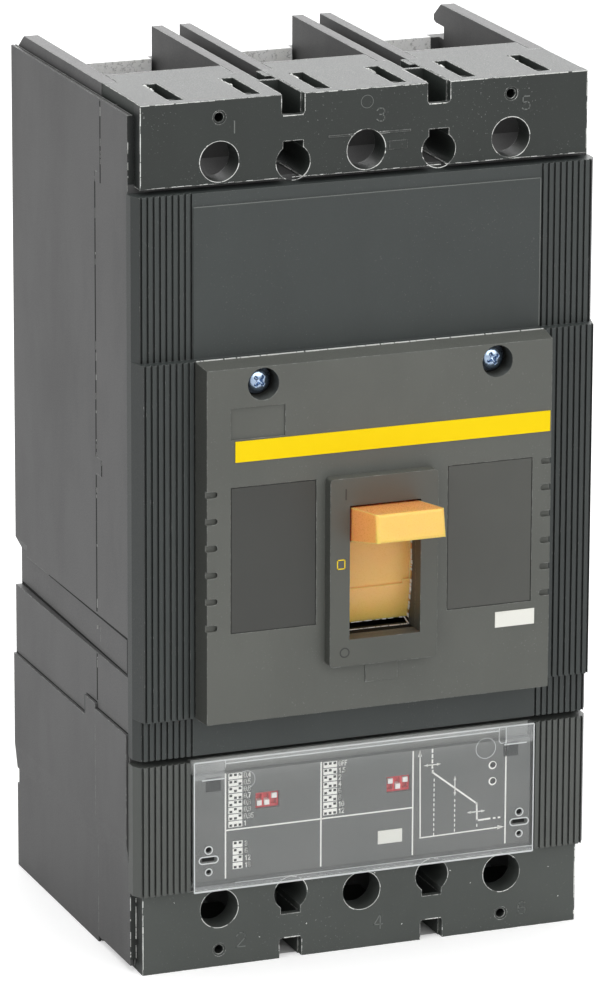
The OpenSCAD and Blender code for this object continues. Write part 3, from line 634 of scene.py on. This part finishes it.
with piece("panel_ink", "panel_ink", "housing", "label_dark") as ink, \
        piece("panel_print", "print_white", "housing", "label_pale") as white:
    for x in (-42.2, -13.0, 15.4, 44.4):
        print_pad(white, rect(x - 0.22, x + 0.22, -100.3, -68.7), PRINT)
    print_pad(white, rect(-42.2, 15.4, -86.05, -85.63), PRINT)
    switch_table(white, ink, -41.3, -37.1, -68.9, 2.06, 3,
                 ("0.4", "0.5", "0.6", "0.7", "0.8", "0.9", "0.95", "1"), -36.5)
    switch_table(white, ink, -12.3, -8.1, -68.9, 2.04, 3,
                 ("OFF", "1.5", "2", "4", "6", "8", "10", "12"), -7.5)
    switch_table(white, ink, -40.0, -37.0, -89.4, 2.16, 2, ("3", "6", "12", "18"), -36.2)
    # the trip curve: two axes, the curve, its arrows and its broken guide lines
    path(white, [(17.55, -69.6), (17.8, -95.4)], 0.38, PRINT)
    arrow(white, (17.53, -68.7), 90, 2.0, PRINT)
    path(white, [(17.7, -95.4), (42.6, -95.1)], 0.38, PRINT)
    arrow(white, (44.0, -95.1), 0, 2.0, PRINT)
    dashed(white, 21.4, -69.0, -75.0, 1.6, 0.7, 0.5, PRINT)
    path(white, [(21.5, -75.4), (21.5, -75.9), (35.4, -87.0), (35.5, -92.2), (39.5, -92.1)],
         0.52, PRINT)
    for x in (40.8, 42.3):
        path(white, [(x, -92.1), (x + 0.3, -92.1)], 0.5, PRINT)
    double_arrow(white, 21.4, -73.6, 1.8, 2.7, PRINT)
    double_arrow(white, 35.2, -89.5, 2.0, 2.9, PRINT)
    double_arrow(white, 28.5, -80.9, 2.3, 3.1, PRINT, upright=True)
    for x, top in ((22.0, -78.0), (28.5, -85.0), (35.5, -93.4)):
        dashed(white, x, top, -94.8, 1.5, 0.62, 0.28, PRINT)
    for x, z in ((40.2, -75.9), (40.25, -80.8)):
        ring(white, x, z, 0.8, 1.25, PRINT, 20)
        disc(ink, x + 0.12, z + 0.12, 0.85, INK)
    for side in (-1, 1):
        for z, r in ((-90.85, 0.82), (-97.45, 0.62)):
            disc(ink, side * LID_PRINT_X + 0.6, z, r, INK)

# a light sheet over the top of the panel: painted light against the shade under the cover's top
with piece("panel_head", "panel_head", "housing", "dark_plastic") as bm:
    print_pad(bm, rect(-52.0, 52.0, -68.6, -64.3), 102.26)
with piece("latch_faces", "latch_grey", "housing", "label_dark") as bm:
    for side in (-1, 1):
        slot_x = side * LID_PRINT_X
        print_pad(bm, rect(slot_x - 1.3, slot_x + 2.4, -94.4, -93.1), PRINT)
        print_pad(bm, rect(*mirrored(side, 43.6, 48.2), -73.7, -69.4), PRINT, 0.3)
with piece("latch_hooks", "panel_ink", "housing", "label_dark") as bm:
    for side in (-1, 1):
        print_pad(bm, rect(side * 45.9 - 0.6, side * 45.9 + 2.1, -73.3, -70.0), PRINT + 0.04)

# ---------------------------------------------------------------- painted highlights and light on the clear cover

RIM = LID_FACE + 0.02

# bright lines along the cover's edges, slots and holes: painted highlights
with piece("cover_rims", "clear_edge", "settings_cover", "clear_plastic") as bm:
    pads(bm, RIM, (-52.5, -52.15, -103.0, -64.0), (52.15, 52.5, -103.0, -64.0),
         (-52.3, 52.3, -103.1, -102.6), (-40.0, 52.3, -101.25, -101.1),
         (-52.3, 52.3, -64.2, -63.8), (-43.0, 41.2, -65.25, -64.95))
    for side in (-1, 1):
        x = side * LID_PRINT_X
        print_pad(bm, rect(*mirrored(side, 43.0, 50.0), -69.65, -69.3), RIM)
        stadium(bm, x, -93.45, 2.9, 1.02, 0.34, RIM)
        ring(bm, x, -90.5, 0.98, 1.32, RIM, 18)
        ring(bm, x, -97.1, 0.85, 1.18, RIM, 18)
    path(bm, [(41.4, -64.2), (41.4, -68.2), (42.0, -68.9), (43.6, -68.9), (43.6, -64.2)], 0.2, RIM)
    path(bm, [(-42.9, -64.2), (-42.9, -66.2)], 0.2, RIM)
    ring(bm, -36.6, -70.6, 2.6, 2.72, RIM, 26)
    ring(bm, 37.25, -69.85, 3.0, 3.14, RIM, 30)
# hazier bands at the cover's top, bottom and lugs: painted light
with piece("cover_bands", "clear_band", "settings_cover", "clear_plastic") as bm:
    pads(bm, RIM - 0.005, (-52.3, 52.3, -102.6, -101.15), (-52.3, 52.3, -65.0, -64.1))
    for side in (-1, 1):
        print_pad(bm, rect(*mirrored(side, 43.2, 52.2), -69.3, -65.0), RIM - 0.01)

# ---------------------------------------------------------------- marks on the mouldings

RAISED = BLOCK_FACE + 0.05

with piece("line_numbers", "emboss", "housing", "dark_plastic") as bm:
    path(bm, [(-39.3, 117.3), (-39.3, 120.6)], 0.32, RAISED)
    for text, x, z0, z1 in (("3", 3.2, 117.2, 120.9), ("5", 47.2, 117.1, 120.9)):
        number(bm, text, x, z0, z1 - z0, 0.32, RAISED)
    ring(bm, 0.2, 123.1, 1.75, 1.9, RAISED)
with piece("load_numbers", "emboss", "housing", "dark_plastic") as bm:
    for text, x, z0, z1 in (("2", -38.4, -121.9, -117.7), ("4", 4.0, -121.8, -117.6),
                            ("6", 49.3, -123.0, -119.3)):
        number(bm, text, x, z0, z1 - z0, 0.32, RAISED)
with piece("handle_marks", "emboss_dark", "housing", "dark_plastic") as bm:
    print_pad(bm, rect(-12.2, -11.8, 13.3, 16.5), FRAME_FACE + 0.04)
    ring(bm, -12.2, -31.5, 1.15, 1.5, FRAME_FACE + 0.04)
with piece("trip_mark", "print_yellow", "housing", "stripe_yellow") as bm:
    path(bm, [(-14.5, -4.1), (-12.3, -4.1), (-12.3, -6.7), (-14.5, -6.7), (-14.5, -4.1)],
         0.3, FRAME_FACE + 0.04)

# ---------------------------------------------------------------- painted seam shade, seam flash and slot liners

UPPER_SEAM = ((SEAM_LOW, 19.0, 99.0), (SEAM_HIGH, 99.5, 123.0), (SEAM_HIGH, 14.2, 18.6))

# near-black strips along the sides' seams, grooves and panel steps: painted shade
with piece("side_seams", "seam_dark", "housing", "dark_plastic") as bm:
    for side in (-1, 1):
        side_strip(bm, side, [(67.32, 0.2, GRIP_FOOT, -38.3), (68.5, 98.8, GRIP_FOOT, -38.85)])
        side_strip(bm, side, [(PLAIN, 30.0, GRIP_TOP - 0.1, GRIP_TOP + 0.15),
                              (PLAIN, 60.0, GRIP_TOP - 0.15, GRIP_TOP + 0.3),
                              (PLAIN, 98.8, GRIP_TOP - 0.2, GRIP_TOP + 0.5)])
        side_strip(bm, side, [(PLAIN, 0.2, PANEL_BACK, -59.95), (PLAIN, 62.4, PANEL_BACK, -59.95)])
        side_strip(bm, side, [(PLAIN, 62.0, PANEL_BACK, -59.9), (PLAIN, 63.6, -54.6, -54.0)])
        side_strip(bm, side, [(PLAIN, 61.3, PANEL_BACK, -59.2), (PLAIN, 62.5, PANEL_BACK, -55.4),
                              (PLAIN, 63.3, -56.0, -54.2)])
        side_strip(bm, side, [(PLAIN, 97.3, -38.9, -27.8), (PLAIN, 98.85, -38.9, -27.6)])
        for depth, z0, z1 in UPPER_SEAM + ((SEAM_LOW, -27.0, 13.6), (SEAM_LOW, -53.5, -39.5)):
            side_strip(bm, side, [(PLAIN, depth - 0.45, z0, z1), (PLAIN, depth + 0.35, z0, z1)],
                       0.02)
        side_strip(bm, side, [(PLAIN, 62.6, PANEL_JOG, -54.0), (PLAIN, 71.9, PANEL_JOG, -54.0)])
        side_strip(bm, side, [(PLAIN, 72.3, -56.0, -55.6), (PLAIN, 98.1, -56.0, -55.5)])

with piece("seam_flash", "flash", "housing", "case_plastic") as bm:
    for side in (-1, 1):
        for depth, z0, z1 in UPPER_SEAM + ((SEAM_LOW, -53.0, 13.6),):
            z = z0
            while z < z1:
                length = rng.uniform(0.4, 3.2)
                if rng.random() < 0.3:
                    top, d = min(z + length, z1), depth - 0.15 + rng.uniform(0.1, 0.4)
                    side_strip(bm, side, [(PLAIN, d, z, top),
                                          (PLAIN, d + rng.uniform(0.15, 0.4), z + 0.1, top)], 0.04)
                z += length + rng.uniform(0.2, 1.6)

for end, name, mat in ((1, "line_slot_liners", "dark_block"),
                       (-1, "load_slot_liners", "load_block")):
    with piece(name, mat, "housing", "dark_plastic") as bm:
        for cx in (-HALF_POLE, HALF_POLE):
            for x0, x1, d0, d1, top in ((-3.45, -2.95, 79.0, 101.4, 126.9),
                                        (2.95, 3.45, 79.0, 101.4, 126.9),
                                        (0.95, 3.44, 72.1, 79.0, 126.9),
                                        (-2.7, 1.0, 83.3, 84.7, 114.0)):
                box(bm, cx + x0, cx + x1, d0, d1, *mirrored(end, SLOT_FOOT, top))

# ---------------------------------------------------------------- painted side shade, worn edges and a painted highlight

# near-black sheets on the blocks' side faces, the shoulders beside them and in the line block's
# slots: painted shade
for end, name, mat, slot in ((1, "block_sides", "block_side", "dark_plastic"),
                             (-1, "load_sides", "load_side", "cover_plastic")):
    with piece(name, mat, "housing", slot) as bm:
        for side in (-1, 1):
            z = mirrored(end, 103.5, 126.6)
            side_strip(bm, side, [(OUTER_WALL, SHOULDER_FACE + 0.05, *z), (OUTER_WALL, 103.2, *z)],
                       0.02)
            print_pad(bm, rect(*mirrored(side, OUTER_WALL, 69.15), *mirrored(end, 104.0, 123.4)),
                      SHOULDER_FACE + 0.03)
        if end > 0:
            for cx in (-HALF_POLE, HALF_POLE):
                box(bm, cx - 2.6, cx + 2.6, 83.2, 84.8, 120.95, 121.06)
                box(bm, cx + 0.95, cx + 2.95, 78.9, 79.04, SLOT_FOOT, 126.85)

CHIPPED = BLOCK_FACE + 0.04
SHOULDER_CHIPPED = SHOULDER_FACE + 0.06
PITS = ((-57.5, -106.0), (-17.0, -117.5), (4.0, -104.6), (27.6, -106.8), (34.0, -111.5),
        (58.5, -109.4), (-31.5, -119.6), (12.6, -121.4), (47.4, -105.2), (61.8, -119.0))
HOLES = ((-POLE, 109.5, 5.75), (0.0, 109.5, 5.75), (POLE, 109.5, 5.75),
         (-HALF_POLE, 107.6, 5.05), (HALF_POLE, 107.6, 5.05))


def hole_rim(bm, end, cx, cz, r, lit):
    """Bright arcs of uneven length round a hole, but none where a keyway opens."""
    t = rng.uniform(0, 12)
    while t < 352:
        run, wide = rng.uniform(6, 44), rng.uniform(0.1, 0.24)
        keyway = r < 5.5 and t + run > 20 and t < 160
        if rng.random() < lit and not keyway:
            ring(bm, cx, end * cz, r, r + wide, CHIPPED, 2 + int(run / 6), end * t, run * end)
        t += run + rng.uniform(0.0, 3.0)


with piece("worn_edges", "chip", "housing", "dark_plastic") as bm:
    for side in (-1, 1):
        for x, z0, z1, w, depth, lit, longest in (
                (66.95, 104.5, 126.5, 0.26, CHIPPED, 0.9, 4.0),
                (69.0, 106.0, 123.0, 0.2, SHOULDER_CHIPPED, 0.5, 2.2),
                (66.95, -125.0, -104.5, 0.32, CHIPPED, 0.85, 3.4),
                (69.05, -122.5, -104.5, 0.24, SHOULDER_CHIPPED, 0.6, 2.2),
                (67.4, -123.0, -105.0, 0.3, SHOULDER_CHIPPED, 0.4, 2.2)):
            dashes(bm, (side * x, z0), (side * x, z1), w, depth, lit, longest)
    for x0, x1, z, w, lit, longest in ((-66.9, -42.0, 126.85, 0.24, 0.7, 3.0),
                                       (-18.0, 18.0, 126.85, 0.22, 0.6, 2.4),
                                       (25.5, 66.9, 126.85, 0.26, 0.75, 3.2),
                                       (-66.0, 66.0, 103.4, 0.18, 0.4, 2.0)):
        dashes(bm, (x0, z), (x1, z), w, CHIPPED, lit, longest)
    # a broken light line along a step across the front: a painted highlight
    x = -52.4
    while x < 52.0:
        length = rng.uniform(0.5, 6.0)
        box(bm, x, min(x + length, 52.4), 108.2, 108.2 + rng.uniform(0.3, 0.65), 54.2, 54.4)
        x += length + rng.uniform(0.0, 0.5)
    for x, z in PITS:
        dashes(bm, (x, z), (x + rng.uniform(0.05, 0.35), z + rng.uniform(-0.2, 0.2)),
               0.3, CHIPPED, 1.0, 0.2)
    for end in (1, -1):
        lit = 0.55 if end > 0 else 0.4
        for cx in (-HALF_POLE, HALF_POLE):
            dashes(bm, (cx - 2.9, end * 120.9), (cx + 2.9, end * 120.9), 0.34, CHIPPED, 0.9, 1.4)
            for x in (cx - 3.5, cx + 3.5):
                dashes(bm, (x, end * 122.0), (x, end * 126.7), 0.26, CHIPPED, lit, 1.2)
        for cx, cz, r in HOLES:
            hole_rim(bm, end, cx, cz, r, lit + 0.3)
    for x in (-POLE, 0.0, POLE):
        for vent in (x - 11.4, x + 11.4):
            for _ in range(9):
                d, w = rng.uniform(78.2, 86.0), rng.uniform(0.15, 0.5)
                left = vent - 2.1 + rng.uniform(0.0, 0.5)
                box(bm, left, left + w, d, d + rng.uniform(0.3, 1.4), 126.2, 126.98)

# light lines along the panel's top and right edges: painted highlights
with piece("panel_edges", "emboss", "housing", "cover_plastic") as bm:
    pads(bm, 105.93, (-52.2, 52.2, 97.5, 97.72), (52.0, 52.22, 54.6, 97.7))

# ---------------------------------------------------------------- worn rim of the window, painted shade and reflection

with piece("shield_edge", "chip", "handle", "switch_white") as bm:
    dashes(bm, (-10.5, -26.0), (10.2, -26.0), 0.34, 110.15, 0.72, 1.1)
with piece("window_scuffs", "chip", "housing", "cover_plastic") as bm:
    z = -26.0
    while z < 10.0:
        length = rng.uniform(0.2, 1.4)
        if rng.random() < 0.72:
            d = PIVOT_D + math.sqrt(SHIELD_R ** 2 - (z - PIVOT_Z) ** 2) + 0.2
            box(bm, WINDOW_HALF - 0.14, WINDOW_HALF - 0.02, d, d + rng.uniform(0.6, 1.2),
                z, z + length)
        z += length + rng.uniform(0.1, 0.5)
    x = -10.6
    while x < 10.3:
        length = rng.uniform(0.2, 1.6)
        box(bm, x, min(x + length, 10.6), 111.2, 112.0 if x > 4.5 else 111.55, -27.84, -27.66)
        x += length + rng.uniform(0.0, 0.35)
    for k in range(6):
        t = k / 5.0
        x, d, z = 9.7 + 0.75 * t, 110.3 + t, -26.35 - 1.45 * t
        box(bm, x, x + 0.3, d, d + 0.5, z, z + 0.3)
# a dark olive sheet on the window's floor: painted shade and a painted reflection of the handle
with piece("window_ledge", "olive_dark", "housing", "cover_plastic") as bm:
    box(bm, -10.74, 10.74, 109.62, 111.2, WINDOW_FOOT, -27.72)
with piece("deep_shade", "seam_dark", "housing", "cover_plastic") as bm:
    box(bm, -10.74, 10.74, 112.0, 114.6, WINDOW_FOOT, -27.76)
    for side in (-1, 1):
        ring(bm, side * SCREW_X, SCREW_Z, 2.9, 4.62, 110.06, 40)


# ---------------------------------------------------------------- cover screws

def washer(bm, cx, cz, r0, r1, d0, d1, start, sweep, rise=0.0, n=60):
    """A flat ring, or a split one that climbs by rise from end to end."""
    rows = []
    for j in range(n + 1):
        t = math.radians(start + sweep * j / n)
        lift = rise * j / n
        rows.append([bm.verts.new(((cx + r * math.cos(t)) * MM, -(d + lift) * MM,
                                   (cz + r * math.sin(t)) * MM))
                     for r, d in ((r0, d0), (r1, d0), (r1, d1), (r0, d1))])
    tube(bm, rows)


def screw_detail(name, node, cx, cz, turn, base):
    """Domed zinc screw head with a cross recess over a spring washer and a flat washer, both
    darkened as painted shade.
    """
    bm = bmesh.new()
    rings, spokes = 26, 96
    turn = math.radians(turn)

    def recess(x, z):
        u = abs(x * math.cos(turn) + z * math.sin(turn))
        v = abs(-x * math.sin(turn) + z * math.cos(turn))
        across, along = min(u, v), max(u, v)
        wing = max(0.0, 1.0 - max(0.0, across - 0.2) / 0.28)
        wing *= max(0.0, min(1.0, (1.95 - along) / 0.4))
        middle = max(0.0, 1.0 - max(0.0, math.hypot(x, z) - 0.5) / 0.5)
        return max(wing, middle) * (1.35 - 0.3 * along)

    grid = []
    for i in range(rings + 1):
        r = 3.05 * i / rings
        dome = 1.25 * math.sqrt(max(0.0, 1.0 - (r / 3.3) ** 2))
        row = []
        for j in range(spokes):
            t = 2 * math.pi * j / spokes
            x, z = r * math.cos(t), r * math.sin(t)
            d = base + 1.6 + dome - recess(x, z)
            row.append(bm.verts.new(((cx + x) * MM, -d * MM, (cz + z) * MM)))
            if i == 0:
                break
        grid.append(row)
    skirt = []
    for j in range(spokes):
        t = 2 * math.pi * j / spokes
        skirt.append(bm.verts.new(((cx + 2.9 * math.cos(t)) * MM, -(base + 1.3) * MM,
                                   (cz + 2.9 * math.sin(t)) * MM)))
    for j in range(spokes):
        k = (j + 1) % spokes
        bm.faces.new([grid[0][0], grid[1][j], grid[1][k]])
        for i in range(1, rings):
            bm.faces.new([grid[i][j], grid[i + 1][j], grid[i + 1][k], grid[i][k]])
        bm.faces.new([grid[rings][j], skirt[j], skirt[k], grid[rings][k]])
    bm.faces.new(list(reversed(skirt)))

    obj = finish_mesh(name, bm, "zinc", "housing", smooth=True)
    mod = obj.modifiers.new("edges", "EDGE_SPLIT")
    mod.split_angle = math.radians(35)
    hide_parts(node)
    with piece(name.replace("head", "washers"), "washer", "housing", "zinc_steel") as bm:
        washer(bm, cx, cz, 2.0, 4.1, base, base + 0.45, 0, 359.9)
        washer(bm, cx, cz, 1.9, 3.35, base + 0.5, base + 1.1, 200, 352, 0.25)


screw_detail("cover_screw_head_left", "cover_screw_left", -SCREW_X, SCREW_Z, 47, SCREW_BASE)
screw_detail("cover_screw_head_right", "cover_screw_right", SCREW_X, SCREW_Z, 28, SCREW_BASE)


# ---------------------------------------------------------------- stage

def stage_floor():
    """Pale floor, white to the camera, unlit under the breaker so its shadow stays."""
    m, nt, s = new_material("floor_pale")
    s.inputs["Base Color"].default_value = (0.8, 0.8, 0.8, 1)
    s.inputs["Roughness"].default_value = 0.9
    where = nt.nodes.new("ShaderNodeNewGeometry").outputs["Position"]

    def between(axis, low, high):
        socket = part_of(nt, where, axis)
        return times(nt, maths(nt, "GREATER_THAN", socket, low),
                     maths(nt, "LESS_THAN", socket, high))

    under = times(nt, between(0, -0.067, 0.067), between(1, -0.1, -0.001))
    glow = nt.nodes.new("ShaderNodeEmission")
    glow.inputs["Color"].default_value = WHITE
    nt.links.new(maths(nt, "MULTIPLY_ADD", under, -0.42, 0.42), glow.inputs["Strength"])
    lit = nt.nodes.new("ShaderNodeAddShader")
    nt.links.new(s.outputs[0], lit.inputs[0])
    nt.links.new(glow.outputs[0], lit.inputs[1])
    mixer = nt.nodes.new("ShaderNodeMixShader")
    rays = nt.nodes.new("ShaderNodeLightPath").outputs
    nt.links.new(rays["Is Camera Ray"], mixer.inputs[0])
    nt.links.new(s.outputs[0], mixer.inputs[1])
    nt.links.new(lit.outputs[0], mixer.inputs[2])
    out = [n for n in nt.nodes if n.type == "OUTPUT_MATERIAL"][0]
    nt.links.new(mixer.outputs[0], out.inputs[0])

    bm = bmesh.new()
    radius, foot, n = 12, -0.127, 64
    turns = [2 * math.pi * i / n for i in range(n)]
    bm.faces.new([bm.verts.new((radius * math.cos(t), radius * math.sin(t), foot)) for t in turns])
    mesh = bpy.data.meshes.new("floor")
    bm.to_mesh(mesh)
    bm.free()
    obj = bpy.data.objects.new("floor", mesh)
    bpy.context.collection.objects.link(obj)
    mesh.materials.append(m)


stage_floor()


def area(name, where, size, power):
    """A soft lamp turned to the middle of the breaker."""
    data = bpy.data.lights.new(name, "AREA")
    data.shape = "RECTANGLE"
    data.size, data.size_y = size
    data.energy = power
    obj = bpy.data.objects.new(name, data)
    bpy.context.collection.objects.link(obj)
    obj.location = where
    obj.rotation_euler = (MIDDLE - Vector(where)).to_track_quat("-Z", "Y").to_euler()


MIDDLE = Vector((0.0, -0.04, 0.0))
area("top_soft", (0.0, -0.2, 1.6), (1.4, 1.4), 13.0)
area("front_soft", (0.3, -1.7, 0.75), (1.5, 1.1), 9.3)
area("left_soft", (-1.6, -0.6, 0.9), (1.0, 1.0), 9.0)
area("back_soft", (0.9, 2.0, 0.85), (2.2, 1.0), 26.0)


def studio_world():
    """An even fill, seen as white by the camera, in reflections and through clear pieces."""
    world = bpy.data.worlds.new("studio")
    bpy.context.scene.world = world
    world.use_nodes = True
    nt = world.node_tree
    nt.nodes.clear()
    out = nt.nodes.new("ShaderNodeOutputWorld")
    mixer = nt.nodes.new("ShaderNodeMixShader")
    for shader_slot, strength in ((1, 0.45), (2, 1.0)):
        sky = nt.nodes.new("ShaderNodeBackground")
        sky.inputs["Color"].default_value = WHITE
        sky.inputs["Strength"].default_value = strength
        nt.links.new(sky.outputs[0], mixer.inputs[shader_slot])
    rays = nt.nodes.new("ShaderNodeLightPath").outputs
    seen = maths(nt, "MAXIMUM", rays["Is Camera Ray"], rays["Is Glossy Ray"])
    nt.links.new(maths(nt, "MAXIMUM", seen, rays["Is Transmission Ray"]), mixer.inputs[0])
    nt.links.new(mixer.outputs[0], out.inputs[0])


studio_world()


# ---------------------------------------------------------------- camera

def photo_camera():
    """The photo's own view, fitted to points measured on it."""
    az, el, roll = math.radians(-21.36), math.radians(16.14), math.radians(0.236)
    dist, across, rise = 1.8857, 0.00685, -0.00914
    back = Vector((math.sin(az) * math.cos(el), -math.cos(az) * math.cos(el), math.sin(el)))
    right = (-back).cross(Vector((0, 0, 1))).normalized()
    up = right.cross(-back)
    rolled_right = right * math.cos(roll) + up * math.sin(roll)
    rolled_up = -right * math.sin(roll) + up * math.cos(roll)
    place = MIDDLE + back * dist + right * across + up * rise
    cam = bpy.data.cameras.new("photo_camera")
    cam.lens = 232.17
    cam.sensor_width = 36.0
    cam.clip_end = 50.0
    obj = bpy.data.objects.new("photo_camera", cam)
    bpy.context.collection.objects.link(obj)
    turned = Matrix((rolled_right, rolled_up, back)).transposed()
    obj.matrix_world = Matrix.Translation(place) @ turned.to_4x4()
    bpy.context.scene.camera = obj


photo_camera()
bpy.context.scene.view_settings.view_transform = "Standard"
